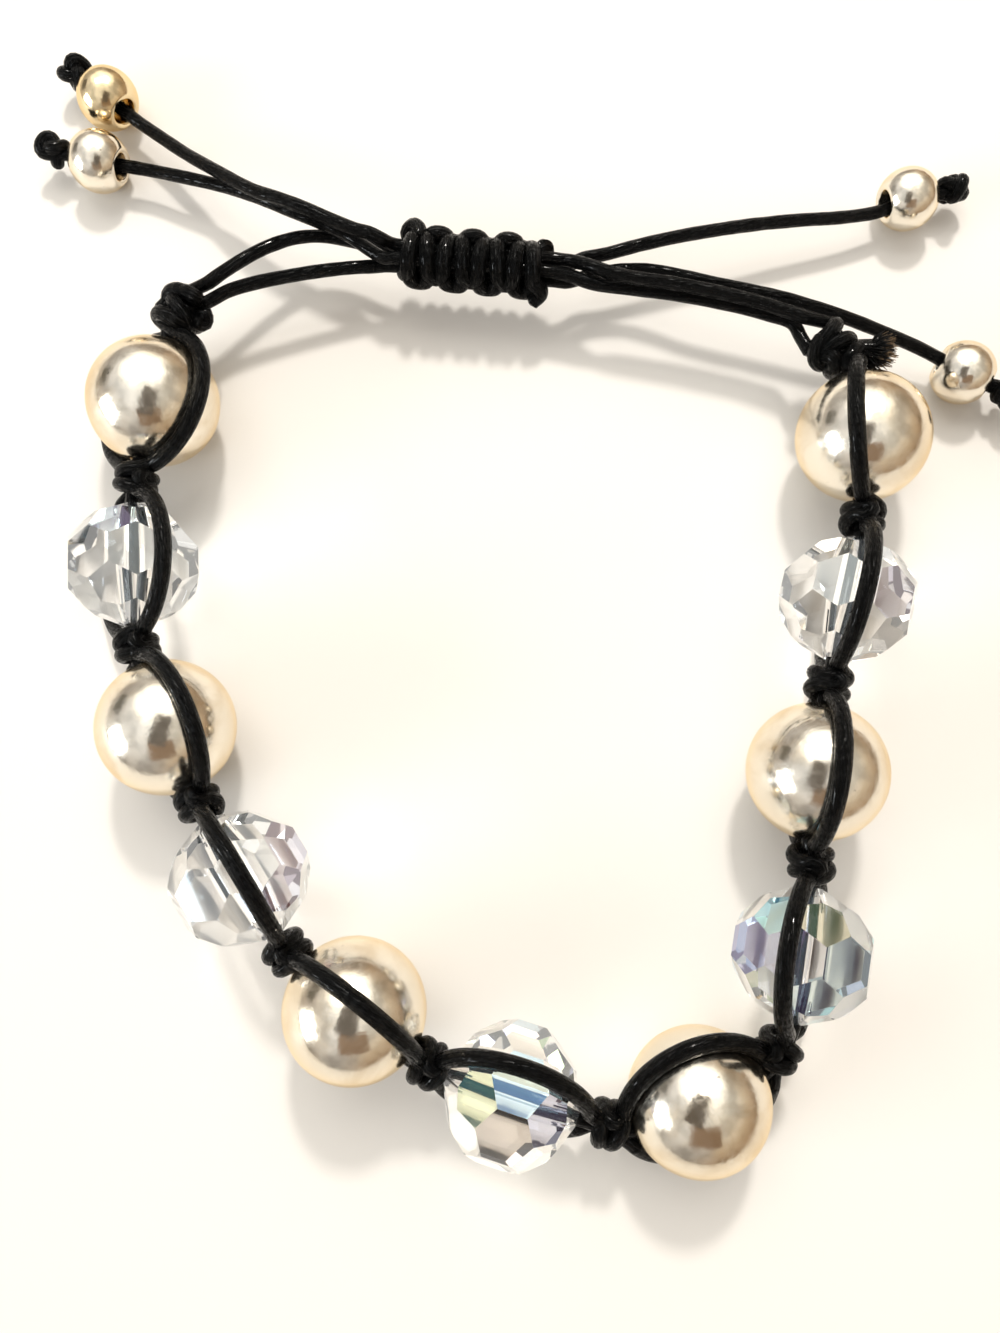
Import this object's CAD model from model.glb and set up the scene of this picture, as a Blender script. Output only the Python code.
"""Cord bracelet of silver balls and cut crystals, with a sliding knot closure.

Its shapes are worked out in millimetres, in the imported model's frame, and finish_mesh turns them
into metres. The stage, the camera and the add-on's own sizes are in metres.
"""
import math
import random

import bmesh
import bpy
from mathutils import Matrix, Vector, noise


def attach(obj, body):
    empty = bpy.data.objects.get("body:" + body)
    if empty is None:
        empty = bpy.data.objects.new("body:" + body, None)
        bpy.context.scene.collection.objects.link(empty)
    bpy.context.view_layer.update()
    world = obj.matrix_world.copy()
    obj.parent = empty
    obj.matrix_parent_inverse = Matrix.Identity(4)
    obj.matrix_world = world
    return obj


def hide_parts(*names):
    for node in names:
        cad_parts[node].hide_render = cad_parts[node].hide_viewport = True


bl_info = {
    "name": "Cord bracelet",
    "version": (1, 0, 0),
    "blender": (4, 5, 0),
    "location": "View3D > Sidebar > Bracelet",
    "description": "Builds the beads, cords and knots of a macrame bracelet round its solids",
    "category": "Object",
}

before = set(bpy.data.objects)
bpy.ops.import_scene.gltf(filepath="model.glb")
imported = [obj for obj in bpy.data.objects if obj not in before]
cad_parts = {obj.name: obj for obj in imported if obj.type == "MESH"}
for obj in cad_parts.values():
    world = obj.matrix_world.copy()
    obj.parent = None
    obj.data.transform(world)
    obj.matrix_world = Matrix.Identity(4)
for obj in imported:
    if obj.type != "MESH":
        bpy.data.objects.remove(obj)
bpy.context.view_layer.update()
MM = 0.001
UP = Vector((0, 0, 1))

# One row a bead, from the left end of the closure round to the right end: x and y of its middle,
# the heading of its hole, and the roll of the upper side cord from straight up, towards the wrist
BEADS = [
    (-27.0, 20.6, -99, 56), (-27.8, 7.5, -86, 41), (-24.45, -4.9, -64, 32), (-18.4, -15.7, -57, 14),
    (-10.1, -24.7, -37, 17), (0.8, -30.4, -18, 31), (13.8, -30.9, 22, 50), (21.3, -21.0, 79, 27),
    (22.8, -8.2, 81, 0), (25.7, 4.5, 75, 4), (27.8, 17.4, 88, 24)]

# Middle and heading of the two end knots, the ends of the sliding knot's middle line, and where the
# trimmed end starts, its heading and its length
LEFT_KNOT = (-24.8, 28.0, 5.2)
LEFT_HEADING = 47
RIGHT_KNOT = (25.9, 24.7, 5.8)
RIGHT_HEADING = 129
SLIDE_FROM = Vector((-7.9, 33.1, 4.8))
SLIDE_TO = Vector((4.1, 31.9, 4.8))
STUB_FROM = Vector((28.2, 24.5, 5.8))
STUB_HEADING = -10
STUB_LENGTH = 2.3

# The routes of the four strands, from an end knot through the sliding knot to a stopper knot
ROUTES = {
    "left_upper_strand": [
        (-23.65, 30.11, 5.4), (-23.06, 30.28, 5.6), (-22.23, 30.96, 5.6), (-20.98, 32.05, 5.4),
        (-19.72, 33.11, 5.1), (-18.45, 34.0, 4.8), (-16.5, 35.01, 4.3), (-14.48, 35.37, 3.95),
        (-12.8, 35.16, 3.85), (-11.06, 34.64, 3.95), (-8.56, 33.75, 4.22), (-1.84, 33.08, 4.22),
        (4.87, 32.41, 4.22), (6.75, 33.32, 4.1), (8.5, 33.62, 4.2), (11.33, 34.37, 4.3),
        (14.59, 35.15, 4.3), (18.26, 35.94, 4.1), (21.0, 36.53, 3.8), (24.7, 37.17, 3.4),
        (28.48, 37.76, 2.9), (31.69, 38.57, 2.5), (34.06, 39.7, 2.5), (36.56, 40.3, 2.5)],
    "left_lower_strand": [
        (-22.7, 29.22, 5.1), (-21.64, 29.86, 5.1), (-19.64, 30.6, 5.0), (-16.96, 31.33, 4.8),
        (-14.28, 31.95, 4.55), (-11.93, 32.38, 4.3), (-10.35, 32.58, 4.12), (-8.67, 32.59, 4.22),
        (-1.96, 31.92, 4.22), (4.76, 31.25, 4.22), (5.46, 31.18, 4.22), (6.87, 31.77, 3.95),
        (8.5, 32.19, 3.95), (10.59, 32.33, 4.1), (12.82, 31.98, 4.4), (15.35, 31.23, 4.7),
        (17.9, 30.53, 4.8), (20.46, 29.95, 4.85), (23.02, 29.28, 4.85), (25.62, 28.51, 4.7),
        (28.3, 27.76, 4.3), (31.45, 26.92, 3.5), (33.88, 26.25, 2.8), (35.51, 25.54, 2.5),
        (37.51, 24.23, 2.5), (39.81, 23.03, 2.5)],
    "right_upper_strand": [
        (25.0, 26.9, 5.9), (23.82, 27.01, 6.2), (22.54, 27.45, 6.25), (20.05, 28.36, 6.2),
        (17.53, 29.01, 6.22), (15.01, 29.61, 6.2), (12.49, 30.1, 6.15), (10.36, 30.45, 6.1),
        (8.49, 30.97, 6.05), (6.73, 31.88, 5.65), (4.87, 32.41, 5.38), (-1.84, 33.08, 5.38),
        (-8.56, 33.75, 5.38), (-9.19, 33.76, 5.95), (-10.26, 34.16, 6.27), (-11.33, 34.47, 6.25),
        (-13.42, 35.41, 6.15), (-15.5, 36.42, 6.1), (-17.62, 37.37, 5.95), (-19.69, 38.33, 5.55),
        (-21.14, 39.27, 5.2), (-23.49, 41.08, 4.4), (-26.01, 43.13, 3.4), (-28.46, 45.15, 2.8),
        (-30.69, 46.93, 2.5), (-33.38, 49.11, 2.5), (-35.18, 50.61, 2.5)],
    "right_lower_strand": [
        (23.7, 25.8, 5.2), (23.09, 27.22, 5.0), (21.53, 27.82, 5.0), (20.35, 28.21, 5.0),
        (17.8, 28.86, 5.0), (15.24, 29.42, 4.98), (12.67, 29.85, 4.95), (10.09, 30.23, 4.92),
        (7.55, 30.45, 5.15), (4.76, 31.25, 5.38), (-1.96, 31.92, 5.38), (-8.67, 32.59, 5.38),
        (-9.15, 32.55, 5.36), (-10.31, 33.33, 5.14), (-12.03, 34.62, 5.08), (-14.31, 35.83, 5.0),
        (-15.73, 36.48, 4.95), (-17.91, 37.6, 4.65), (-20.03, 38.76, 4.2), (-22.67, 40.11, 3.5),
        (-24.93, 40.94, 3.12), (-27.19, 41.67, 2.8), (-29.47, 42.36, 2.5), (-33.75, 43.19, 2.5),
        (-36.25, 43.89, 2.5)],
}
# The strand that carries end bead and stopper knot 1 to 4, and that knot's turn about it in degrees
TAILS = [("right_upper_strand", 20), ("right_lower_strand", 150), ("left_upper_strand", 260),
         ("left_lower_strand", 60)]


# ---- Places

def heading_line(angle):
    """The level direction at this heading, in degrees."""
    return Vector((math.cos(math.radians(angle)), math.sin(math.radians(angle)), 0))


def inward(ahead):
    """Level, across the string, towards the wrist."""
    return UP.cross(ahead).normalized()


def side_line(ahead, roll):
    """Across the string, at this roll from straight up towards the wrist."""
    turn = math.radians(roll)
    return math.cos(turn) * UP + math.sin(turn) * inward(ahead)


def bead_middle(i, sizes):
    x, y, _, roll = BEADS[i]
    over_cord = sizes.rest_radius * math.cos(math.radians(roll)) + sizes.cord / 2
    return Vector((x, y, max(sizes.bead / 2, over_cord)))


def bead_mouth(i, side, sizes):
    return bead_middle(i, sizes) + side * sizes.bead / 2 * heading_line(BEADS[i][2])


def knot_axes(i, sizes):
    """Origin and axes of the knot after bead i: along the string, to the upper cord, across."""
    start, end = bead_mouth(i, 1, sizes), bead_mouth(i + 1, -1, sizes)
    ahead = (end - start).normalized()
    rolled = side_line(ahead, (BEADS[i][3] + BEADS[i + 1][3]) / 2)
    side = (rolled - rolled.dot(ahead) * ahead).normalized()
    return (start + end) / 2, ahead, side, ahead.cross(side)


# A side cord presses this far into its bead, and lies on the table with this much room under it
PRESSED = 0.04
ROOM_BELOW = 0.1


class Sizes:
    """The add-on's sizes, in millimetres, as plain numbers."""

    def __init__(self, settings):
        self.bead = settings.bead_diameter / MM
        self.cord = settings.cord_diameter / MM
        self.strand = settings.strand_diameter / MM
        self.end_bead = settings.end_bead_diameter / MM
        self.end_length = settings.end_bead_length / MM
        self.bore = settings.bore_diameter / MM
        self.end_bore = settings.end_bore_diameter / MM
        self.core_radius = self.cord / 2 - 0.02
        self.side_radius = self.cord / 2 + 0.02
        self.arch_radius = self.bead / 2 + self.cord / 2 - PRESSED
        self.rest_radius = self.bead / 2 + self.cord / 2 + ROOM_BELOW


# ---- Cords

def smooth_path(points, step):
    """A centripetal Catmull-Rom curve through the points, as points a step apart."""
    points = [Vector(p) for p in points]
    first, last = 2 * points[0] - points[1], 2 * points[-1] - points[-2]
    points = [first] + points + [last]
    dense = []
    for p0, p1, p2, p3 in zip(points, points[1:], points[2:], points[3:]):
        t0 = 0.0
        t1 = t0 + (p1 - p0).length ** 0.5
        t2 = t1 + (p2 - p1).length ** 0.5
        t3 = t2 + (p3 - p2).length ** 0.5
        for k in range(12):
            t = t1 + (t2 - t1) * k / 12
            a1 = p0 * ((t1 - t) / (t1 - t0)) + p1 * ((t - t0) / (t1 - t0))
            a2 = p1 * ((t2 - t) / (t2 - t1)) + p2 * ((t - t1) / (t2 - t1))
            a3 = p2 * ((t3 - t) / (t3 - t2)) + p3 * ((t - t2) / (t3 - t2))
            b1 = a1 * ((t2 - t) / (t2 - t0)) + a2 * ((t - t0) / (t2 - t0))
            b2 = a2 * ((t3 - t) / (t3 - t1)) + a3 * ((t - t1) / (t3 - t1))
            dense.append(b1 * ((t2 - t) / (t2 - t1)) + b2 * ((t - t1) / (t2 - t1)))
    dense.append(points[-2].copy())
    lengths = [0.0]
    for a, b in zip(dense, dense[1:]):
        lengths.append(lengths[-1] + (b - a).length)
    count = max(2, round(lengths[-1] / step))
    even, at = [], 0
    for k in range(count + 1):
        want = lengths[-1] * k / count
        while at < len(dense) - 2 and lengths[at + 1] < want:
            at += 1
        span = max(lengths[at + 1] - lengths[at], 1e-9)
        even.append(dense[at].lerp(dense[at + 1], (want - lengths[at]) / span))
    return even


def carried_rings(path):
    """A placement for each ring of a tube, turned as little as the path allows."""
    rings = []
    across = None
    for k, point in enumerate(path):
        ahead = (path[min(k + 1, len(path) - 1)] - path[max(k - 1, 0)]).normalized()
        if across is None:
            across = ahead.orthogonal()
        across = (across - across.dot(ahead) * ahead).normalized()
        other = ahead.cross(across)
        place = Matrix((across, other, ahead)).transposed().to_4x4()
        place.translation = point
        rings.append(place)
    return rings


def uneven(path, radius, amount, seed):
    """Radii of a waxed cord, which is never quite even."""
    return [radius * (1 + amount * noise.noise(Vector((p.x * 0.9 + seed, p.y * 0.9, p.z * 0.9))))
            for p in path]


def circle_edges(verts):
    """The edges of a new circle, each once and in a fixed order."""
    return list(dict.fromkeys(edge for vert in verts for edge in vert.link_edges))


def add_tube(bm, path, radius, sides=16, thin_ends=(1.0, 1.0), along_from=0.0):
    """A closed round tube along the path, in millimetres. A list gives each ring its radius."""
    around = bm.verts.layers.float.get("around") or bm.verts.layers.float.new("around")
    along = bm.verts.layers.float.get("along") or bm.verts.layers.float.new("along")
    radii = list(radius) if isinstance(radius, (list, tuple)) else [radius] * len(path)
    radii[0] *= thin_ends[0]
    radii[-1] *= thin_ends[1]
    ring = bmesh.ops.create_circle(bm, cap_ends=False, segments=sides, radius=1.0)["verts"]
    for k, vert in enumerate(ring):
        vert[around] = k / sides
        vert[along] = along_from
    edges = circle_edges(ring)
    ends = [edges]
    here = Matrix.Identity(4)
    walked = along_from
    faces = []
    for k, place in enumerate(carried_rings(path)):
        if k:
            out = bmesh.ops.extrude_edge_only(bm, edges=edges)["geom"]
            ring = [g for g in out if isinstance(g, bmesh.types.BMVert)]
            inside = set(ring)
            edges = [g for g in out if isinstance(g, bmesh.types.BMEdge)
                     and g.verts[0] in inside and g.verts[1] in inside]
            faces += [g for g in out if isinstance(g, bmesh.types.BMFace)]
            walked += (path[k] - path[k - 1]).length
        wanted = place @ Matrix.Scale(radii[k], 4)
        wanted.translation = place.translation
        bmesh.ops.transform(bm, matrix=wanted @ here.inverted(), verts=ring)
        here = wanted
        for vert in ring:
            vert[along] = walked
    ends.append(edges)
    for loop in ends:
        faces += bmesh.ops.edgeloop_fill(bm, edges=loop)["faces"]
    for face in faces:
        face.smooth = True


def unwrap_tubes(bm):
    """UVs of a cord: once round it is 1 across, and a millimetre along it is 1 up."""
    around = bm.verts.layers.float["around"]
    along = bm.verts.layers.float["along"]
    layer = bm.loops.layers.uv.new("cord")
    for face in bm.faces:
        turns = [loop.vert[around] for loop in face.loops]
        wraps = max(turns) - min(turns) > 0.5
        for loop, turn in zip(face.loops, turns):
            loop[layer].uv = (turn + 1 if wraps and turn < 0.5 else turn, loop.vert[along])


def link_mesh(bm, name, materials):
    """Puts a bmesh into the scene as an object with these materials."""
    mesh = bpy.data.meshes.new(name)
    bm.to_mesh(mesh)
    bm.free()
    for material in materials:
        mesh.materials.append(material)
    obj = bpy.data.objects.new(name, mesh)
    bpy.context.scene.collection.objects.link(obj)
    return obj


def finish_mesh(bm, node, ending, slot, *materials):
    """Turns a bmesh in millimetres into a piece in metres that stands for a node of the CAD.

    The piece's name is the node's name and this ending. Tubes also get their UVs.
    """
    bmesh.ops.recalc_face_normals(bm, faces=bm.faces)
    if bm.verts.layers.float.get("around"):
        unwrap_tubes(bm)
    bmesh.ops.scale(bm, vec=(MM, MM, MM), verts=bm.verts)
    obj = link_mesh(bm, f"{node}_{ending}", materials)
    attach(obj, "root")
    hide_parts(node)
    return obj


# ---- Half knots

# The hump of a working cord at the side of a half knot, as points: distance along from its middle
# as a share of the pitch, share of its reach, and drop in cord thicknesses
SMALL_HUMP = (
    (-0.42, 0.2, 0.35), (-0.27, 0.8, 0.06), (0, 1.1, -0.1), (0.27, 0.8, 0.06), (0.42, 0.2, 0.35))
BROAD_HUMP = (
    (-0.58, 0, 0.9), (-0.45, 0.55, 0.3), (-0.2, 1, 0), (0.2, 1, 0), (0.45, 0.55, 0.3),
    (0.58, 0, 0.9))
# Angles of a bar's points from side to side, and how far past a side the first cord turns back
BAR_STOPS = (25, 60, 90, 120, 155)
TURN_BACK = 8
# Angles on a bead of a side cord's points where it comes out of a knot and where it goes into one
OUT_OF_KNOT = (17, 22)
INTO_KNOT = (158, 163)


def half_knots(count, pitch, core, cord, lift, over, tuck=-24, slant=0.12, hump=SMALL_HUMP):
    """The two working cords of half knots along X, as points (x, angle, radius).

    The angle goes from the side of the first cord's entry, over the front at 90 degrees, to the far
    side at 180. The first cord crosses the front, the second the back, and where the second turns
    at a side it humps out, over degrees towards the front on the near side and tuck on the far one.
    """
    bar = core + cord
    out = bar + lift * cord
    front, back = [], []
    for k in range(count):
        x = (k - (count - 1) / 2) * pitch
        way = 1 if k % 2 == 0 else -1
        for n, stop in enumerate(BAR_STOPS[::way]):
            shift = slant * pitch * (n - len(BAR_STOPS) // 2)
            front.append((x + shift, stop, bar))
            back.append((x + shift, 180 + stop, bar))
        if k < count - 1:
            turn = x + pitch / 2
            front.append((turn, 180 + TURN_BACK if way > 0 else -TURN_BACK, bar + 0.1 * cord))
            side, reach = (360, over) if way > 0 else (180, -tuck)
            for at, share, drop in hump:
                back.append((turn + at * pitch, side + reach * share, out - drop * cord))
    return front, back


def placed(points, origin, ahead, side, front):
    """Points (x, angle, radius) of half_knots as places."""
    out = []
    for x, angle, radius in points:
        a = math.radians(angle)
        out.append(origin + x * ahead + radius * (math.cos(a) * side + math.sin(a) * front))
    return out


def arch_points(i, roll, angles, sizes):
    """Points of a side cord over bead i, at these angles from the end of its hole it comes from."""
    ahead = heading_line(BEADS[i][2])
    up = side_line(ahead, BEADS[i][3] + roll)
    middle, radius = bead_middle(i, sizes), sizes.arch_radius
    return [middle + radius * (-math.cos(math.radians(a)) * ahead + math.sin(math.radians(a)) * up)
            for a in angles]


# ---- Materials

def put(tree, socket, value):
    """Sets an input socket to a value, or links another node's socket to it."""
    if isinstance(value, bpy.types.NodeSocket):
        tree.links.new(value, socket)
    else:
        socket.default_value = value


def set_inputs(tree, node, **inputs):
    """Sets or links a node's inputs, which are named with _ for a space."""
    for key, value in inputs.items():
        put(tree, node.inputs[key.replace("_", " ")], value)
    return node


def add_node(tree, kind, settings=None, **inputs):
    """Adds a node with these settings and inputs."""
    node = tree.nodes.new(kind)
    for key, value in (settings or {}).items():
        setattr(node, key, value)
    return set_inputs(tree, node, **inputs)


def calc(tree, operation, *values):
    node = add_node(tree, "ShaderNodeMath", {"operation": operation})
    for socket, value in zip(node.inputs, values):
        put(tree, socket, value)
    return node.outputs[0]


def ramp(tree, value, low, high, to_low=0.0, to_high=1.0):
    """Smooth steps from to_low to to_high as the value goes from low to high."""
    return add_node(tree, "ShaderNodeMapRange", {"interpolation_type": "SMOOTHSTEP"}, Value=value,
                    From_Min=low, From_Max=high, To_Min=to_low, To_Max=to_high).outputs["Result"]


def mix_colour(tree, share, first, second, blend="MIX"):
    node = add_node(tree, "ShaderNodeMix", {"data_type": "RGBA", "blend_type": blend})
    for index, value in ((0, share), (6, first), (7, second)):
        put(tree, node.inputs[index], value)
    return node.outputs[2]


def noise_over(tree, place, scale, detail, **inputs):
    return add_node(tree, "ShaderNodeTexNoise", Vector=place, Scale=scale, Detail=detail,
                    **inputs).outputs[0]


def object_place(tree):
    return add_node(tree, "ShaderNodeTexCoord").outputs["Object"]


def cord_place(tree):
    """Turns round a cord and millimetres along it, from its UVs."""
    uv = add_node(tree, "ShaderNodeUVMap", {"uv_map": "cord"}).outputs[0]
    return add_node(tree, "ShaderNodeSeparateXYZ", Vector=uv).outputs[:2]


def new_group(name, inputs, outputs):
    """An empty node group with these number sockets, its inputs' sockets and its output node."""
    group = bpy.data.node_groups.new(name, "ShaderNodeTree")
    for label, value in inputs.items():
        socket = group.interface.new_socket(label, in_out="INPUT", socket_type="NodeSocketFloat")
        socket.default_value = value
    for label in outputs:
        group.interface.new_socket(label, in_out="OUTPUT", socket_type="NodeSocketFloat")
    return group, group.nodes.new("NodeGroupInput").outputs, group.nodes.new("NodeGroupOutput")


# The crossing strands of the braid, in radians a millimetre along a cord
BRAID = 5.2


def fibre_group():
    """Surface of a waxed cord, from its UVs: its braid, stray fibres, worn places and wax."""
    name = "Waxed fibres"
    if name in bpy.data.node_groups:
        return bpy.data.node_groups[name]
    tree, given, out = new_group(
        name, {"Strands": 5.0, "Turns per mm": 0.03, "Fibre": 3.6, "Flecks": 0.54},
        ("Height", "Wear", "Wax"))
    around, along = cord_place(tree)
    turned = calc(tree, "MULTIPLY_ADD", along, given["Turns per mm"], around)
    angle = calc(tree, "MULTIPLY", turned, 2 * math.pi)
    # Braid: strands that wind round the cord both ways and leave small scales
    round_it = calc(tree, "MULTIPLY", angle, given["Strands"])
    braid = calc(tree, "MULTIPLY",
                 calc(tree, "SINE", calc(tree, "MULTIPLY_ADD", along, BRAID, round_it)),
                 calc(tree, "SINE", calc(tree, "MULTIPLY_ADD", along, -BRAID, round_it)))
    # Fibres: noise drawn out along the turned strands
    ring = add_node(tree, "ShaderNodeCombineXYZ",
                    X=calc(tree, "MULTIPLY", calc(tree, "COSINE", angle), given["Fibre"]),
                    Y=calc(tree, "MULTIPLY", calc(tree, "SINE", angle), given["Fibre"]),
                    Z=calc(tree, "MULTIPLY", along, 0.85)).outputs[0]
    fibre = noise_over(tree, ring, 1.0, 5.0, Roughness=0.66)
    lumps = noise_over(tree, ring, 0.45, 2.0)
    flecks = noise_over(tree, ring, 1.7, 4.0, Roughness=0.72)
    wax = ramp(tree, flecks, given["Flecks"], calc(tree, "ADD", given["Flecks"], 0.07))
    height = calc(tree, "MULTIPLY", wax, 0.45)
    for part, share in ((lumps, 0.7), (fibre, 1.0), (braid, 0.22)):
        height = calc(tree, "MULTIPLY_ADD", part, share, height)
    set_inputs(tree, out, Height=height, Wear=ramp(tree, fibre, 0.45, 0.66), Wax=wax)
    return tree


def tarnish_group():
    """Tarnish and handling marks on plate, from the object's own coordinates."""
    name = "Tarnish"
    if name in bpy.data.node_groups:
        return bpy.data.node_groups[name]
    tree, given, out = new_group(
        name, {"Scale": 260.0, "Tarnish": 0.5}, ("Tarnish", "Pits", "Smudge", "Height"))
    place = object_place(tree)
    broad = noise_over(tree, place, given["Scale"], 4.0, Roughness=0.55, Distortion=0.4)
    fine = noise_over(tree, place, calc(tree, "MULTIPLY", given["Scale"], 7.0), 4.0, Roughness=0.65)
    cells = add_node(tree, "ShaderNodeTexVoronoi", Vector=place,
                     Scale=calc(tree, "MULTIPLY", given["Scale"], 3.2)).outputs[0]
    # A pit lies in the middle of a cell, and only where the fine noise is high
    spot, rare = ramp(tree, cells, 0.05, 0.12, 1.0, 0.0), ramp(tree, fine, 0.56, 0.66)
    set_inputs(tree, out,
               Tarnish=calc(tree, "MULTIPLY", ramp(tree, broad, 0.44, 0.70), given["Tarnish"]),
               Pits=calc(tree, "MULTIPLY", spot, rare), Smudge=ramp(tree, fine, 0.35, 0.75),
               Height=calc(tree, "MULTIPLY_ADD", broad, 1.0, calc(tree, "MULTIPLY", fine, 0.06)))
    return tree


def new_material(name):
    """A new material, its node tree and its Principled shader."""
    material = bpy.data.materials.new(name)
    material.use_nodes = True
    tree = material.node_tree
    return material, tree, tree.nodes["Principled BSDF"]


def bump(tree, height, strength, distance):
    """Normals of a surface with this height, whose full distance is in metres."""
    return add_node(tree, "ShaderNodeBump", Strength=strength, Distance=distance,
                    Height=height).outputs[0]


def cord_material(colours):
    """Black waxed cord: duller where its fibres are worn, and glossy on its flecks of wax."""
    name = "black waxed cord"
    if name in bpy.data.materials:
        return bpy.data.materials[name]
    material, tree, shader = new_material(name)
    fibres = add_node(tree, "ShaderNodeGroup", {"node_tree": fibre_group()}).outputs
    dust = tuple(c + 0.002 * warmth for c, warmth in zip(colours.cord, (0.95, 1.0, 0.98)))
    rough = calc(tree, "MULTIPLY_ADD", fibres["Wear"], 0.15, 0.20)
    set_inputs(tree, shader,
               Base_Color=mix_colour(tree, fibres["Wear"], (*colours.cord, 1), (*dust, 1)),
               Roughness=calc(tree, "MULTIPLY_ADD", fibres["Wax"], -0.10, rough),
               Coat_Weight=fibres["Wax"], Coat_Roughness=0.10, Coat_IOR=1.34,
               Specular_IOR_Level=0.065, Normal=bump(tree, fibres["Height"], 1.0, 0.0003))
    return material


def bristle_material(colours):
    """Bare ends of the cord's fibres: black at the root, and dusty tan where they were cut."""
    name = "frayed fibre"
    if name in bpy.data.materials:
        return bpy.data.materials[name]
    material, tree, shader = new_material(name)
    along = cord_place(tree)[1]
    patch = noise_over(tree, object_place(tree), 1400.0, 2.0)
    tip = calc(tree, "MULTIPLY", ramp(tree, along, 0.8, 1.6), ramp(tree, patch, 0.42, 0.52))
    set_inputs(tree, shader, Roughness=0.6, Specular_IOR_Level=0.2,
               Base_Color=mix_colour(tree, tip, (*colours.cord, 1), (0.20, 0.14, 0.085, 1)))
    return material


def plate_material(name, plate, stain, amount, rough):
    """Polished plate: mirror bright, with tarnish, fine pits and handling marks."""
    if name in bpy.data.materials:
        return bpy.data.materials[name]
    material, tree, shader = new_material(name)
    marks = add_node(tree, "ShaderNodeGroup", {"node_tree": tarnish_group()},
                     Scale=230.0, Tarnish=amount).outputs
    stained = mix_colour(tree, marks["Tarnish"], (*plate, 1), (*stain, 1))
    pits = calc(tree, "MULTIPLY", marks["Pits"], 0.75)
    set_inputs(tree, shader, Metallic=1.0, Specular_Tint=(1.0, 0.86, 0.66, 1),
               Base_Color=mix_colour(tree, pits, stained, (0.08, 0.055, 0.03, 1)),
               Roughness=calc(tree, "MULTIPLY_ADD", marks["Smudge"], 0.12, rough),
               Normal=bump(tree, marks["Height"], 0.45, 0.00016))
    return material


def silver_material(colours):
    return plate_material("silver plate", colours.silver, colours.stain, 0.45, 0.14)


# Tint of the light through a facet, and thickness in nanometres and IOR of the coating on it
COATINGS = {
    "clear": ((0.97, 0.97, 0.96), 72, 1.7), "stone": ((0.91, 0.89, 0.85), 72, 1.7),
    "taupe": ((0.46, 0.40, 0.35), 72, 1.7), "steel": ((0.52, 0.67, 0.72), 160, 1.9),
    "lilac": ((0.84, 0.80, 0.90), 141, 1.9), "indigo": ((0.48, 0.50, 0.76), 160, 1.9),
    "teal": ((0.56, 0.77, 0.73), 184, 1.7), "mint": ((0.62, 0.94, 0.87), 184, 1.95),
    "lime": ((0.80, 0.98, 0.52), 198, 1.9), "olive": ((0.68, 0.68, 0.44), 212, 1.9)}
# For each crystal, the coatings of single facets by the number of their cut, and the coatings that
# follow one another on its other facets
COATED = [
    ({0: "stone", 7: "clear", 8: "steel", 9: "clear", 1: "stone", 11: "stone"},
     ("clear", "clear", "stone")),
    ({1: "lilac", 7: "clear", 9: "clear", 11: "lilac"}, ("clear", "stone", "clear")),
    ({0: "teal", 1: "stone", 7: "taupe", 8: "lime", 9: "indigo", 10: "stone", 22: "clear"},
     ("stone", "stone", "clear")),
    ({0: "lilac", 1: "indigo", 7: "steel", 8: "steel", 9: "olive", 10: "stone", 11: "mint"},
     ("clear", "stone", "stone")),
    ({0: "stone", 1: "clear", 7: "lilac", 10: "stone", 22: "taupe"}, ("clear", "clear", "stone"))]
# Light that has gone round more often than this inside the glass comes back as this share of pale
# light, where it would end as black
TRAPPED_AFTER = 4.5
TRAPPED_LIGHT = 0.14


def crystal_material(coating):
    """Clear cut glass under one step of the rainbow coating."""
    name = f"cut crystal {coating}"
    if name in bpy.data.materials:
        return bpy.data.materials[name]
    material, tree, shader = new_material(name)
    tint, film, film_ior = COATINGS[coating]
    depth = add_node(tree, "ShaderNodeLightPath").outputs["Ray Depth"]
    pale = calc(tree, "MULTIPLY", calc(tree, "GREATER_THAN", depth, TRAPPED_AFTER), TRAPPED_LIGHT)
    scuffs = ramp(tree, noise_over(tree, object_place(tree), 900.0, 3.0), 0.6, 0.7)
    set_inputs(tree, shader, Base_Color=(*tint, 1), IOR=1.50, Transmission_Weight=1.0,
               Thin_Film_Thickness=film, Thin_Film_IOR=film_ior,
               Emission_Color=mix_colour(tree, pale, (0, 0, 0, 1), (1.0, 0.99, 0.97, 1)),
               Emission_Strength=1.0, Roughness=calc(tree, "MULTIPLY_ADD", scuffs, 0.03, 0.03))
    return material


# ---- Properties

class BraceletSizes(bpy.types.PropertyGroup):
    """Sizes of the bracelet's pieces."""
    bead_diameter: bpy.props.FloatProperty(
        name="Bead", description="Diameter of the balls and crystals", default=0.010, unit="LENGTH")
    cord_diameter: bpy.props.FloatProperty(
        name="Cord", description="Diameter of the waxed cord", default=0.0012, unit="LENGTH")
    strand_diameter: bpy.props.FloatProperty(
        name="Strand", description="Diameter of the four free strands of the closure",
        default=0.00105, unit="LENGTH")
    end_bead_diameter: bpy.props.FloatProperty(
        name="End bead", description="Diameter of the small bead on each tail", default=0.005,
        unit="LENGTH")
    end_bead_length: bpy.props.FloatProperty(
        name="End bead length", description="Length of an end bead along its cord", default=0.0043,
        unit="LENGTH")
    bore_diameter: bpy.props.FloatProperty(
        name="Bore", description="Diameter of the hole through a bead", default=0.0015,
        unit="LENGTH")
    end_bore_diameter: bpy.props.FloatProperty(
        name="End bead bore", description="Diameter of the hole through an end bead",
        default=0.0021, unit="LENGTH")


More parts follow.
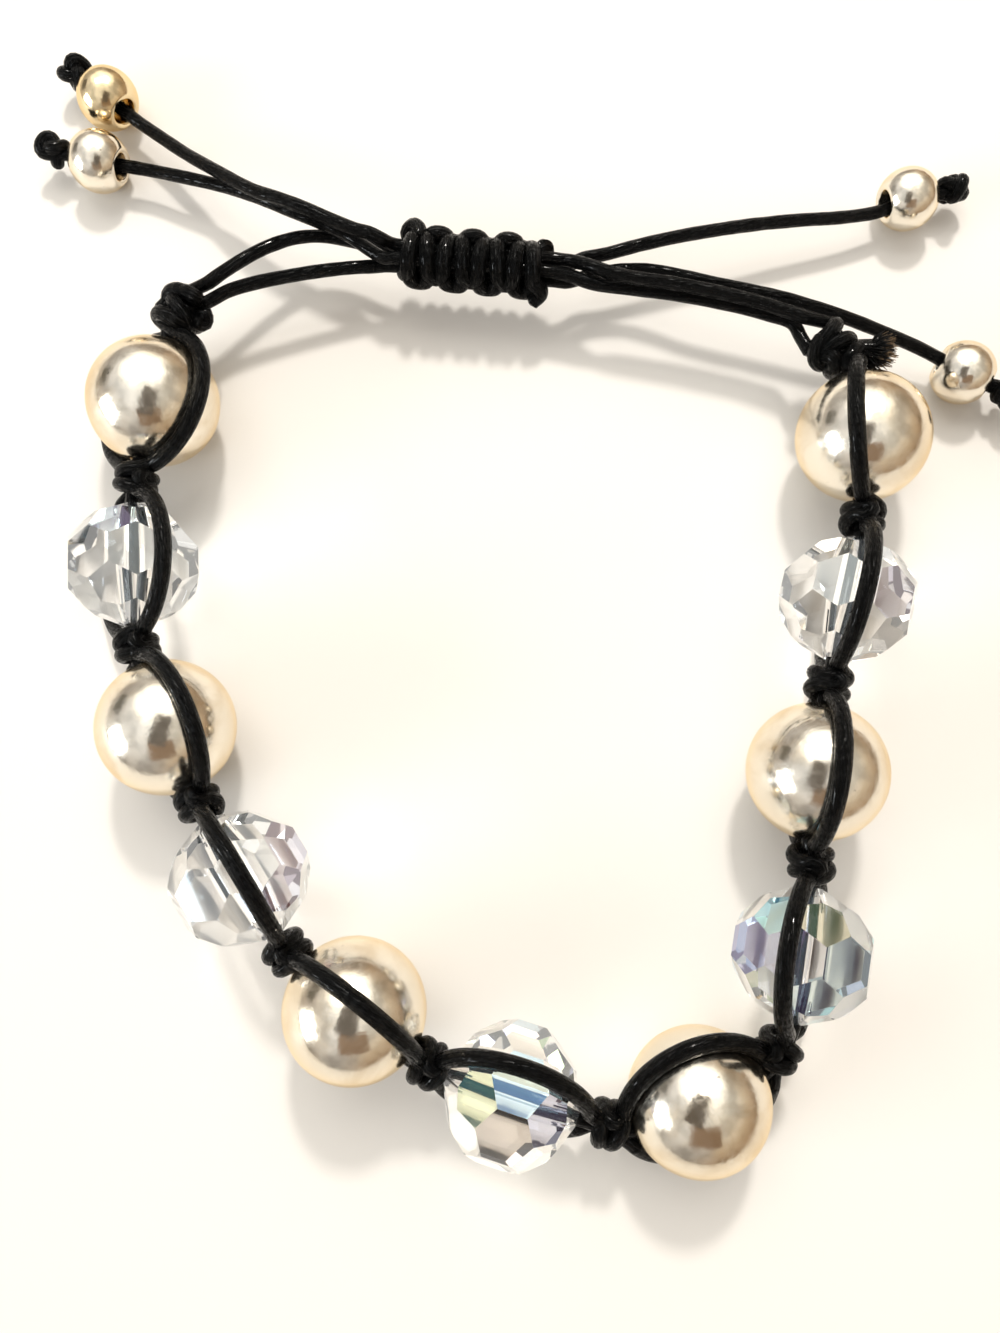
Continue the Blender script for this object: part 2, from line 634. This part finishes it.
class BraceletColours(bpy.types.PropertyGroup):
    """Colours of the bracelet's finishes."""
    cord: bpy.props.FloatVectorProperty(
        name="Cord", description="Colour of the waxed cord", default=(0.0009, 0.0010, 0.0011),
        subtype="COLOR", size=3, min=0.0, max=1.0)
    silver: bpy.props.FloatVectorProperty(
        name="Silver", description="Colour of the silver plate", default=(0.87, 0.81, 0.70),
        subtype="COLOR", size=3, min=0.0, max=1.0)
    champagne: bpy.props.FloatVectorProperty(
        name="Champagne", description="Colour of the warm plate on one end bead",
        default=(0.86, 0.70, 0.44), subtype="COLOR", size=3, min=0.0, max=1.0)
    stain: bpy.props.FloatVectorProperty(
        name="Tarnish", description="Colour of the tarnish on the plate",
        default=(0.60, 0.45, 0.26), subtype="COLOR", size=3, min=0.0, max=1.0)
    floor: bpy.props.FloatVectorProperty(
        name="Floor", description="Colour of the floor", default=(0.84, 0.825, 0.80),
        subtype="COLOR", size=3, min=0.0, max=1.0)


def sizes_of(context):
    return Sizes(context.scene.bracelet_sizes)


# ---- Camera and stage

class BRACELET_OT_camera(bpy.types.Operator):
    """Sets up the camera at the photograph's angle"""
    bl_idname = "bracelet.camera"
    bl_label = "Camera"

    def execute(self, context):
        data = bpy.data.cameras.new("camera")
        data.lens = 27.0
        data.sensor_width = 36.0
        data.sensor_fit = "AUTO"
        data.clip_start = 0.002
        camera = bpy.data.objects.new("camera", data)
        camera.location = (0, -0.0126, 0.0785)
        camera.rotation_euler = (math.radians(9.475), 0, 0)
        context.scene.collection.objects.link(camera)
        context.scene.camera = camera
        return {"FINISHED"}


FLOOR_SIZE = (3.0, 3.0)
# Soft lights, aimed at the bracelet: place and size in metres, watts and colour
LIGHTS = [
    ("lamp", (0.03, 0.34, 0.40), (0.05, 0.05), 1.45, (1.0, 0.95, 0.88)),
    ("ceiling_panel", (-0.05, 0.30, 0.54), (0.50, 0.24), 0.7, (1.0, 0.98, 0.93)),
    ("side_window", (-0.70, -0.22, 0.24), (0.40, 0.30), 3.2, (0.90, 0.96, 1.0))]
# Cards that only reflections show: size and middle in metres, and colour
CARDS = [
    ("dark_card", (0.055, 0.100), (-0.008, -0.026, 0.110), (0.11, 0.10, 0.095)),
    ("brown_card", (0.20, 0.16), (0.015, -0.200, 0.200), (0.24, 0.17, 0.12)),
    ("grey_card", (0.28, 0.22), (-0.62, 0.30, 0.22), (0.16, 0.16, 0.15))]
# Colours of the room's left and right side, each low down, half way up and overhead, and of the
# glow high up, with its direction
ROOM = [
    ((0.50, 0.46, 0.42, 1), (0.66, 0.63, 0.60, 1), (1.02, 1.02, 1.02, 1)),
    ((0.40, 0.28, 0.18, 1), (0.60, 0.49, 0.36, 1), (1.02, 0.98, 0.90, 1))]
GLOW = (1.9, 1.86, 1.74, 1)
GLOW_TOWARDS = Vector((-0.05, 0.56, 0.83)).normalized()
# The room as the crystals look into it, and its tint and loss of strength as it lights the pieces
ROOM_IN_GLASS = (0.86, 0.86, 0.84, 1)
ROOM_TINT = (1.0, 0.955, 0.91, 1)
ROOM_LOSS = 0.30


def facing_bracelet(place):
    return (-Vector(place)).to_track_quat("-Z", "Y")


def add_area(name, place, size, watts, colour):
    data = bpy.data.lights.new(name, "AREA")
    data.shape = "RECTANGLE"
    data.size, data.size_y = size
    data.energy = watts
    data.color = colour
    light = bpy.data.objects.new(name, data)
    light.location = place
    light.rotation_euler = facing_bracelet(place).to_euler()
    light.visible_camera = False
    bpy.context.scene.collection.objects.link(light)


def add_sheet(name, size, place, material):
    """A flat sheet of this size in metres, with this matrix."""
    bm = bmesh.new()
    bmesh.ops.create_grid(bm, x_segments=1, y_segments=1, size=0.5)
    bmesh.ops.scale(bm, vec=(*size, 1), verts=bm.verts)
    bmesh.ops.transform(bm, matrix=place, verts=bm.verts)
    return link_mesh(bm, name, [material])


def add_floor(pale):
    material, tree, shader = new_material("floor card")
    tone = noise_over(tree, object_place(tree), 18.0, 3.0)
    warm = (pale[0], pale[1] * 0.985, pale[2] * 0.965, 1)
    set_inputs(tree, shader, Base_Color=mix_colour(tree, tone, (*pale, 1), warm), Roughness=0.6,
               Specular_IOR_Level=0.2)
    floor = add_sheet("floor", FLOOR_SIZE, Matrix.Identity(4), material)


def add_card(name, size, place, colour):
    """A dull card facing the bracelet, which the camera doesn't see and which throws no shadow."""
    material, tree, shader = new_material(name.replace("_", " "))
    set_inputs(tree, shader, Base_Color=(*colour, 1), Roughness=0.8)
    turn = facing_bracelet(place).to_matrix().to_4x4()
    card = add_sheet(name, size, Matrix.Translation(place) @ turn, material)
    card.visible_camera = card.visible_diffuse = card.visible_shadow = False
    card.visible_transmission = False


def studio_world():
    """A room that brightens upwards and is warmer on the right, with a broad glow high up."""
    world = bpy.data.worlds.new("studio")
    world.use_nodes = True
    tree = world.node_tree
    ahead = add_node(tree, "ShaderNodeTexCoord").outputs["Generated"]
    to_right, _, upwards = add_node(tree, "ShaderNodeSeparateXYZ", Vector=ahead).outputs
    height = ramp(tree, upwards, -0.1, 1.0)
    sides = []
    for low, middle, high in ROOM:
        node = add_node(tree, "ShaderNodeValToRGB", Fac=height)
        node.color_ramp.elements[0].color = low
        node.color_ramp.elements[1].color = high
        node.color_ramp.elements.new(0.45).color = middle
        sides.append(node.outputs[0])
    colour = mix_colour(tree, ramp(tree, to_right, -0.4, 0.5), *sides)
    facing = add_node(tree, "ShaderNodeVectorMath", {"operation": "DOT_PRODUCT"})
    put(tree, facing.inputs[0], ahead)
    put(tree, facing.inputs[1], GLOW_TOWARDS)
    colour = mix_colour(tree, ramp(tree, facing.outputs["Value"], 0.76, 0.93), colour, GLOW)
    # The room looks nearly even through the crystals, and brighter in the balls than it lights
    # the floor, so that shadows keep their depth
    rays = add_node(tree, "ShaderNodeLightPath").outputs
    through = calc(tree, "MULTIPLY", rays["Is Transmission Ray"], 0.7)
    colour = mix_colour(tree, through, colour, ROOM_IN_GLASS)
    colour = mix_colour(tree, rays["Is Diffuse Ray"], colour, ROOM_TINT, "MULTIPLY")
    patches = ramp(tree, noise_over(tree, ahead, 2.2, 4.0), 0.36, 0.62, 0.62, 1.12)
    kept = calc(tree, "MULTIPLY_ADD", rays["Is Diffuse Ray"], -ROOM_LOSS, 1.0)
    set_inputs(tree, tree.nodes["Background"], Color=colour,
               Strength=calc(tree, "MULTIPLY", patches, kept))
    return world


class BRACELET_OT_stage(bpy.types.Operator):
    """Builds the pale floor, the studio lights and the cards that the balls mirror"""
    bl_idname = "bracelet.stage"
    bl_label = "Stage"

    def execute(self, context):
        add_floor(tuple(context.scene.bracelet_colours.floor))
        for card in CARDS:
            add_card(*card)
        context.scene.world = studio_world()
        for light in LIGHTS:
            add_area(*light)
        context.scene.view_settings.view_transform = "Standard"
        return {"FINISHED"}


# ---- Tails: strands, end beads and stopper knots

# How deep a drilled bead's lip goes into its hole, as a share of the lip's width
LIP_DEPTH = 0.55


def set_on_string(bm, centre, ahead):
    """Turns a bead that was made along X to its hole's heading, and moves it to its place."""
    turn = Vector((1, 0, 0)).rotation_difference(ahead).to_matrix().to_4x4()
    bmesh.ops.transform(bm, matrix=Matrix.Translation(centre) @ turn, verts=bm.verts)


def spun_bead(bm, centre, ahead, radius, length, bore, lip, segments, steps):
    """A drilled ball with rounded lips, spun round its hole."""
    half = min(length / 2, math.sqrt(radius ** 2 - (bore + lip) ** 2))
    top = math.sqrt(radius ** 2 - half ** 2)
    start = math.atan2(top, half)
    profile = []
    for k in range(steps + 1):
        a = start + (math.pi - 2 * start) * k / steps
        profile.append((radius * math.cos(a), radius * math.sin(a)))
    # Lip from the ball's edge into the hole, on both sides
    inside = [(half - lip * (1 - math.cos(math.radians(t))) * LIP_DEPTH,
               bore + (top - bore) * (1 - math.sin(math.radians(t)))) for t in (30, 60, 90)]
    profile = [(x, r) for x, r in reversed(inside)] + profile + [(-x, r) for x, r in inside]
    verts = [bm.verts.new((x, 0, r)) for x, r in profile]
    edges = [bm.edges.new(pair) for pair in zip(verts, verts[1:])]
    edges.append(bm.edges.new((verts[-1], verts[0])))
    bmesh.ops.spin(bm, geom=verts + edges, cent=(0, 0, 0), axis=(1, 0, 0), angle=2 * math.pi,
                   steps=segments, use_merge=True)
    bmesh.ops.remove_doubles(bm, verts=bm.verts, dist=1e-5)
    set_on_string(bm, centre, ahead)
    for face in bm.faces:
        face.smooth = True


# Where a stopper knot's middle is past the strand's end, its size, its cord's radius, and the
# lowest that its cord's middle line may lie
STOPPER_AHEAD = 1.45
STOPPER_SIZE = 1.08
STOPPER_RADIUS = 0.56
STOPPER_LOWEST = 0.62


def stopper_path(middle, ahead, turned, size):
    """A tight overhand knot: a threefold loop with one trimmed end, turned about the strand."""
    side = ahead.orthogonal().normalized()
    side.rotate(Matrix.Rotation(math.radians(turned), 3, ahead))
    other = ahead.cross(side)
    points = []
    for k in range(23):
        t = 2 * math.pi * (k / 24 + 0.09)
        x = math.sin(t) + 2 * math.sin(2 * t)
        y = math.cos(t) - 2 * math.cos(2 * t)
        z = -1.25 * math.sin(3 * t)
        points.append(middle + size * (0.30 * x * ahead + 0.30 * y * side + 0.42 * z * other))
    points.insert(0, middle - 1.5 * size * ahead)
    points.append(points[-1] + size * (0.75 * ahead + 0.35 * side))
    return [Vector((p.x, p.y, max(p.z, STOPPER_LOWEST))) for p in points]


class BRACELET_OT_tails(bpy.types.Operator):
    """Lays the four strands with their end beads and stopper knots"""
    bl_idname = "bracelet.tails"
    bl_label = "Tails"

    def execute(self, context):
        sizes, colours = sizes_of(context), context.scene.bracelet_colours
        cord = cord_material(colours)
        silver = silver_material(colours)
        gold = plate_material("champagne plate", colours.champagne, colours.stain, 0.5, 0.12)
        for number, (name, turned) in enumerate(TAILS, 1):
            route = [Vector(p) for p in ROUTES[name]]
            seat, end = route[-2], route[-1]
            ahead = (end - seat).normalized()

            bm = bmesh.new()
            spun_bead(bm, seat, ahead, sizes.end_bead / 2, sizes.end_length, sizes.end_bore / 2,
                      0.35, segments=64, steps=28)
            slot, plate = ("champagne_plate", gold) if number == 1 else ("silver_plate", silver)
            bead = finish_mesh(bm, f"end_bead_{number}", "plate", slot, plate)

            # The strand runs on into its end knot
            inside = route[0] + 1.3 * (route[0] - route[1]).normalized()
            path = smooth_path([inside] + route, 0.4)
            bm = bmesh.new()
            add_tube(bm, path, uneven(path, sizes.strand / 2, 0.05, number), sides=18)
            strand = finish_mesh(bm, name, "cord", "waxed_cord", cord)

            middle = end + STOPPER_AHEAD * ahead
            knotted = smooth_path(stopper_path(middle, ahead, turned, STOPPER_SIZE), 0.2)
            bm = bmesh.new()
            add_tube(bm, knotted, uneven(knotted, STOPPER_RADIUS, 0.06, number), sides=14,
                     thin_ends=(1.0, 0.7))
            knot = finish_mesh(bm, f"stopper_knot_{number}", "cord", "waxed_cord", cord)

        return {"FINISHED"}


# ---- Beads

class BRACELET_OT_balls(bpy.types.Operator):
    """Turns the six silver balls"""
    bl_idname = "bracelet.balls"
    bl_label = "Silver balls"

    def execute(self, context):
        sizes = sizes_of(context)
        silver = silver_material(context.scene.bracelet_colours)
        for number, i in enumerate(range(0, len(BEADS), 2), 1):
            bm = bmesh.new()
            spun_bead(bm, bead_middle(i, sizes), heading_line(BEADS[i][2]), sizes.bead / 2,
                      sizes.bead, sizes.bore / 2, 0.12, segments=128, steps=64)
            finish_mesh(bm, f"ball_bead_{number}", "plate", "silver_plate", silver)
        return {"FINISHED"}


# Facets round a crystal: how many, tilt from the belt and first turn, in degrees. The rings off the
# belt are cut on both sides, and a table ends each side.
FACET_ROWS = [(8, 0, 22.5), (8, 37, 0), (8, 64, 22.5)]
CUTS = sum(count if tilt == 0 else 2 * count for count, tilt, _ in FACET_ROWS) + 2
# Depths of the facets and tables and radius of the uncut ball, as shares of the crystal's radius
FACET_DEPTH = 0.91
TABLE_AT = 0.94
UNCUT = 1.2
# Millimetres taken off the facets' edges
EDGE_WORN = 0.035


def cut_crystal(bm, radius, bore, coats):
    """A faceted bead along X: every facet is one cut, and both tables are opened to the hole."""
    bmesh.ops.create_icosphere(bm, subdivisions=4, radius=radius * UNCUT)
    cuts = []
    for count, tilt, first in FACET_ROWS:
        for k in range(count):
            a = math.radians(first + 360 / count * k)
            for side in ((0,) if tilt == 0 else (-1, 1)):
                t = math.radians(tilt) * side
                normal = (math.sin(t), math.cos(t) * math.sin(a), math.cos(t) * math.cos(a))
                cuts.append((Vector(normal), radius * FACET_DEPTH))
    cuts += [(Vector((side, 0, 0)), radius * TABLE_AT) for side in (-1, 1)]
    for normal, depth in cuts:
        out = bmesh.ops.bisect_plane(bm, geom=bm.verts[:] + bm.edges[:] + bm.faces[:], dist=1e-6,
                                     plane_co=normal * depth, plane_no=normal, clear_outer=True)
        edge = [g for g in out["geom_cut"] if isinstance(g, bmesh.types.BMEdge)]
        bmesh.ops.edgeloop_fill(bm, edges=edge)
    bmesh.ops.dissolve_limit(bm, angle_limit=math.radians(1), verts=bm.verts, edges=bm.edges)
    for face in bm.faces:
        nearest = max(range(len(cuts)), key=lambda k: face.normal.dot(cuts[k][0]))
        face.material_index = coats[nearest]
    rims = []
    for face in [f for f in bm.faces if abs(f.normal.x) > 0.999]:
        place = Matrix.Translation((face.calc_center_median().x, 0, 0))
        rim = list(face.edges)
        bmesh.ops.delete(bm, geom=[face], context="FACES_ONLY")
        circle = bmesh.ops.create_circle(
            bm, cap_ends=False, segments=32, radius=bore,
            matrix=place @ Matrix.Rotation(math.radians(90), 4, "Y"))["verts"]
        hole = circle_edges(circle)
        bmesh.ops.bridge_loops(bm, edges=rim + hole)
        rims.append(hole)
    return rims


class BRACELET_OT_crystals(bpy.types.Operator):
    """Cuts the five crystals"""
    bl_idname = "bracelet.crystals"
    bl_label = "Crystals"

    def execute(self, context):
        sizes = sizes_of(context)
        for number, i in enumerate(range(1, len(BEADS), 2), 1):
            bm = bmesh.new()
            seen, others = COATED[number - 1]
            coatings = sorted(set(seen.values()) | set(others))
            coats = [coatings.index(seen.get(k, others[k % len(others)])) for k in range(CUTS)]
            rims = cut_crystal(bm, sizes.bead / 2, sizes.bore / 2, coats)
            sharp = [e for e in bm.edges if e not in rims[0] and e not in rims[1]
                     and len(e.link_faces) == 2 and e.calc_face_angle(0) > math.radians(12)]
            bmesh.ops.bevel(bm, geom=sharp, offset=EDGE_WORN, offset_type="OFFSET", segments=1,
                            profile=0.5, affect="EDGES", material=-1, clamp_overlap=True)
            bmesh.ops.bridge_loops(bm, edges=[e for e in bm.edges if e.is_boundary])
            set_on_string(bm, bead_middle(i, sizes), heading_line(BEADS[i][2]))
            crystal = finish_mesh(bm, f"crystal_bead_{number}", "cut", "crystal",
                                  *[crystal_material(coating) for coating in coatings])
            crystal.visible_shadow = False
        return {"FINISHED"}


# ---- The string: core, side cords and the knots between the beads

# How far inside the end knots the core cord's first points lie
CORE_INSIDE = (0.6, 1.9)
KNOT_PITCH = 1.08
KNOT_CORE = 0.58
KNOT_CORD = 0.56


def knot_paths(i, sizes):
    """Both working cords through the knot after bead i, from arch to arch."""
    origin, ahead, side, front = knot_axes(i, sizes)
    first, second = half_knots(2, KNOT_PITCH, KNOT_CORE, KNOT_CORD, lift=0.55, over=20)
    paths = []
    for points, roll in ((first, 0), (second, 180)):
        before = arch_points(i, roll, INTO_KNOT, sizes)
        after = arch_points(i + 1, roll, OUT_OF_KNOT, sizes)
        paths.append(before + placed(points, origin, ahead, side, front) + after)
    return paths


class BRACELET_OT_string(bpy.types.Operator):
    """Strings the core cord, the two side cords and the square knots between the beads"""
    bl_idname = "bracelet.string"
    bl_label = "String"

    def execute(self, context):
        sizes = sizes_of(context)
        cord = cord_material(context.scene.bracelet_colours)
        left_line, right_line = heading_line(LEFT_HEADING), heading_line(RIGHT_HEADING)
        core = [Vector(LEFT_KNOT) - inside * left_line for inside in CORE_INSIDE]
        for i in range(len(BEADS)):
            core += [bead_mouth(i, -1, sizes), bead_middle(i, sizes), bead_mouth(i, 1, sizes)]
        core += [Vector(RIGHT_KNOT) - inside * right_line for inside in reversed(CORE_INSIDE)]
        bm = bmesh.new()
        add_tube(bm, smooth_path(core, 0.6), sizes.core_radius)
        finish_mesh(bm, "core_cord", "waxed", "waxed_cord", cord)

        over_bead = [*OUT_OF_KNOT, *(30 + 120 * k / 10 for k in range(11)), *INTO_KNOT]
        for node, roll in (("upper_side_cord", 0), ("lower_side_cord", 180)):
            bm = bmesh.new()
            for i in range(len(BEADS)):
                path = smooth_path(arch_points(i, roll, over_bead, sizes), 0.4)
                add_tube(bm, path, sizes.side_radius, along_from=15.0 * i)
            side_cord = finish_mesh(bm, node, "waxed", "waxed_cord", cord)
            side_cord.visible_transmission = False

        for i in range(len(BEADS) - 1):
            bm = bmesh.new()
            for path in knot_paths(i, sizes):
                smooth = smooth_path(path, 0.25)
                # A working cord is as thick as its arches at both ends, and thinner in the knot
                radii = [sizes.side_radius - (sizes.side_radius - KNOT_CORD)
                         * min(1, 3 * k / len(smooth), 3 * (1 - k / len(smooth)))
                         for k in range(len(smooth))]
                add_tube(bm, smooth, radii, sides=14, along_from=7.0 * i)
            knot = finish_mesh(bm, f"knot_{i + 1}", "waxed", "waxed_cord", cord)
            knot.visible_transmission = False
        return {"FINISHED"}


# ---- End knots, the trimmed end and the sliding knot

# Both end knots: half knots, their pitch, and the radii of their core and of their working cords
END_TURNS = 3
END_PITCH = 1.22
END_CORE = 0.62
END_CORD = 0.62
# A loop that shows beside an end knot's other ones, as points along, towards the wrist and up
END_LOOP = [(-0.2, 1.2, -0.6), (0.15, 1.75, 0.1), (0.5, 1.75, 0.5), (0.95, 1.2, 0.9),
            (1.2, 0.5, 0.9)]
BRISTLES = 420


class BRACELET_OT_end_knots(bpy.types.Operator):
    """Ties the two end knots and leaves the frayed, trimmed cord end"""
    bl_idname = "bracelet.end_knots"
    bl_label = "End knots"

    def execute(self, context):
        sizes, colours = sizes_of(context), context.scene.bracelet_colours
        cord = cord_material(colours)
        for node, middle, angle, bead, mouth, turned in (
                ("left_end_knot", LEFT_KNOT, LEFT_HEADING, 0, OUT_OF_KNOT[::-1], 25),
                ("right_end_knot", RIGHT_KNOT, RIGHT_HEADING, len(BEADS) - 1, INTO_KNOT, -20)):
            ahead = heading_line(angle)
            origin = Vector(middle) - 0.25 * ahead
            front = side_line(ahead, turned)
            side = front.cross(ahead)
            first, second = half_knots(END_TURNS, END_PITCH, END_CORE, END_CORD, lift=0.6, over=22)
            bm = bmesh.new()
            for points, roll in ((first, 0), (second, 180)):
                wound = placed(points, origin, ahead, side, front)
                path = smooth_path(arch_points(bead, roll, mouth, sizes) + wound, 0.25)
                add_tube(bm, path, 0.63, sides=14, thin_ends=(1.0, 0.7))
            loop = [origin + x * ahead + y * inward(ahead) + z * UP for x, y, z in END_LOOP]
            add_tube(bm, smooth_path(loop, 0.25), 0.66, sides=14, thin_ends=(0.7, 0.7))
            # The core and the strands fill the knot
            half = END_PITCH / 2 * END_TURNS
            add_tube(bm, [origin + x * ahead for x in (-half, -half + 0.4, 0, half - 0.4, half)],
                     [0.5, 0.95, 1.0, 0.95, 0.5])
            finish_mesh(bm, node, "waxed", "waxed_cord", cord)

        # The trimmed end: a short swollen cord that opens into bristles
        rng = random.Random(7)
        ahead = heading_line(STUB_HEADING)
        side, other = inward(ahead), UP
        bm = bmesh.new()
        path = smooth_path([STUB_FROM - 0.8 * ahead, STUB_FROM, STUB_FROM + 1.2 * ahead], 0.25)
        add_tube(bm, path, [0.70 + 0.36 * k / (len(path) - 1) for k in range(len(path))])
        finish_mesh(bm, "cord_stub", "waxed", "waxed_cord", cord)
        bm = bmesh.new()
        for _ in range(BRISTLES):
            turn, out = rng.uniform(0, 2 * math.pi), math.sqrt(rng.random())
            across = math.cos(turn) * side + math.sin(turn) * other
            start = STUB_FROM + rng.uniform(0.3, 1.1) * ahead + 0.85 * out * across
            tip = (STUB_FROM + (rng.uniform(1.3, STUB_LENGTH + 0.5) - 0.7 * out * out) * ahead
                   + rng.uniform(1.1, 1.9) * out * across)
            mid = (start.lerp(tip, 0.5) + 0.12 * rng.uniform(-1, 1) * side
                   + 0.12 * rng.uniform(-1, 1) * other)
            add_tube(bm, [start, mid, tip], [0.08, 0.06, 0.02], sides=4)
        finish_mesh(bm, "cord_stub", "bristles", "waxed_cord", bristle_material(colours))
        return {"FINISHED"}


# The sliding knot: half knots, their pitch, and the radii of its core and of its working cords
SLIDING_TURNS = 8
SLIDING_PITCH = 1.40
SLIDING_CORE = 0.80
SLIDING_CORD = 0.58
# Its middle lies this far back along its line, and its front leans this far off the wrist, in
# degrees
SLIDING_BACK = 0.35
SLIDING_LEAN = 14
# The first cord starts on its near side, and ends in a point there, past the last bar
FIRST_START = [(-5.4, -14, 1.3)]
FIRST_END = [(5.6, 8, 1.65), (5.65, -8, 1.95), (5.2, -14, 2.4), (4.9, -16, 2.7)]
# The second cord comes in over a small loop, and ends in a melted knob
SECOND_START = [(-4.45, 150, 1.3), (-4.45, 170, 2.0), (-4.9, 181, 2.4), (-5.35, 188, 2.0)]
SECOND_END = [(5.45, 190, 1.45), (5.75, 180, 1.6), (5.8, 172, 1.65)]


class BRACELET_OT_sliding_knot(bpy.types.Operator):
    """Ties the sliding knot round the four strands"""
    bl_idname = "bracelet.sliding_knot"
    bl_label = "Sliding knot"

    def execute(self, context):
        ahead = (SLIDE_TO - SLIDE_FROM).normalized()
        origin = (SLIDE_FROM + SLIDE_TO) / 2 - SLIDING_BACK * ahead
        across = inward(ahead)
        lean = math.radians(SLIDING_LEAN)
        front = math.cos(lean) * UP - math.sin(lean) * across
        side = -math.cos(lean) * across - math.sin(lean) * UP
        first, second = half_knots(SLIDING_TURNS, SLIDING_PITCH, SLIDING_CORE, SLIDING_CORD,
                                   lift=0.8, over=-30, tuck=16, slant=0.05, hump=BROAD_HUMP)
        bm = bmesh.new()
        for number, points in enumerate((FIRST_START + first + FIRST_END,
                                         SECOND_START + second + SECOND_END)):
            path = smooth_path(placed(points, origin, ahead, side, front), 0.22)
            radii = uneven(path, 0.66, 0.08, 3.0 * number)
            # The melted knob at the second cord's end
            for k in range(6 * number):
                radii[-1 - k] *= 1.3 - 0.05 * k
            add_tube(bm, path, radii, thin_ends=(0.7, (0.3, 0.75)[number]))
        cord = cord_material(context.scene.bracelet_colours)
        finish_mesh(bm, "sliding_knot", "waxed", "waxed_cord", cord)
        return {"FINISHED"}


# ---- Panel and registration

OPERATORS = (
    BRACELET_OT_camera, BRACELET_OT_tails, BRACELET_OT_string, BRACELET_OT_end_knots,
    BRACELET_OT_sliding_knot, BRACELET_OT_balls, BRACELET_OT_crystals, BRACELET_OT_stage)


class BRACELET_PT_panel(bpy.types.Panel):
    """Lists the bracelet's sizes, colours and building steps"""
    bl_label = "Bracelet"
    bl_idname = "BRACELET_PT_panel"
    bl_space_type = "VIEW_3D"
    bl_region_type = "UI"
    bl_category = "Bracelet"

    def draw(self, context):
        for group in (context.scene.bracelet_sizes, context.scene.bracelet_colours):
            for key in type(group).__annotations__:
                self.layout.prop(group, key)
        for operator in OPERATORS:
            self.layout.operator(operator.bl_idname)


CLASSES = (BraceletSizes, BraceletColours, *OPERATORS, BRACELET_PT_panel)


def register():
    for cls in CLASSES:
        bpy.utils.register_class(cls)
    bpy.types.Scene.bracelet_sizes = bpy.props.PointerProperty(type=BraceletSizes)
    bpy.types.Scene.bracelet_colours = bpy.props.PointerProperty(type=BraceletColours)


def unregister():
    del bpy.types.Scene.bracelet_colours
    del bpy.types.Scene.bracelet_sizes
    for cls in reversed(CLASSES):
        bpy.utils.unregister_class(cls)


def main():
    register()
    for operator in OPERATORS:
        group, name = operator.bl_idname.split(".")
        getattr(getattr(bpy.ops, group), name)()
    bpy.context.view_layer.update()


if __name__ == "__main__":
    main()
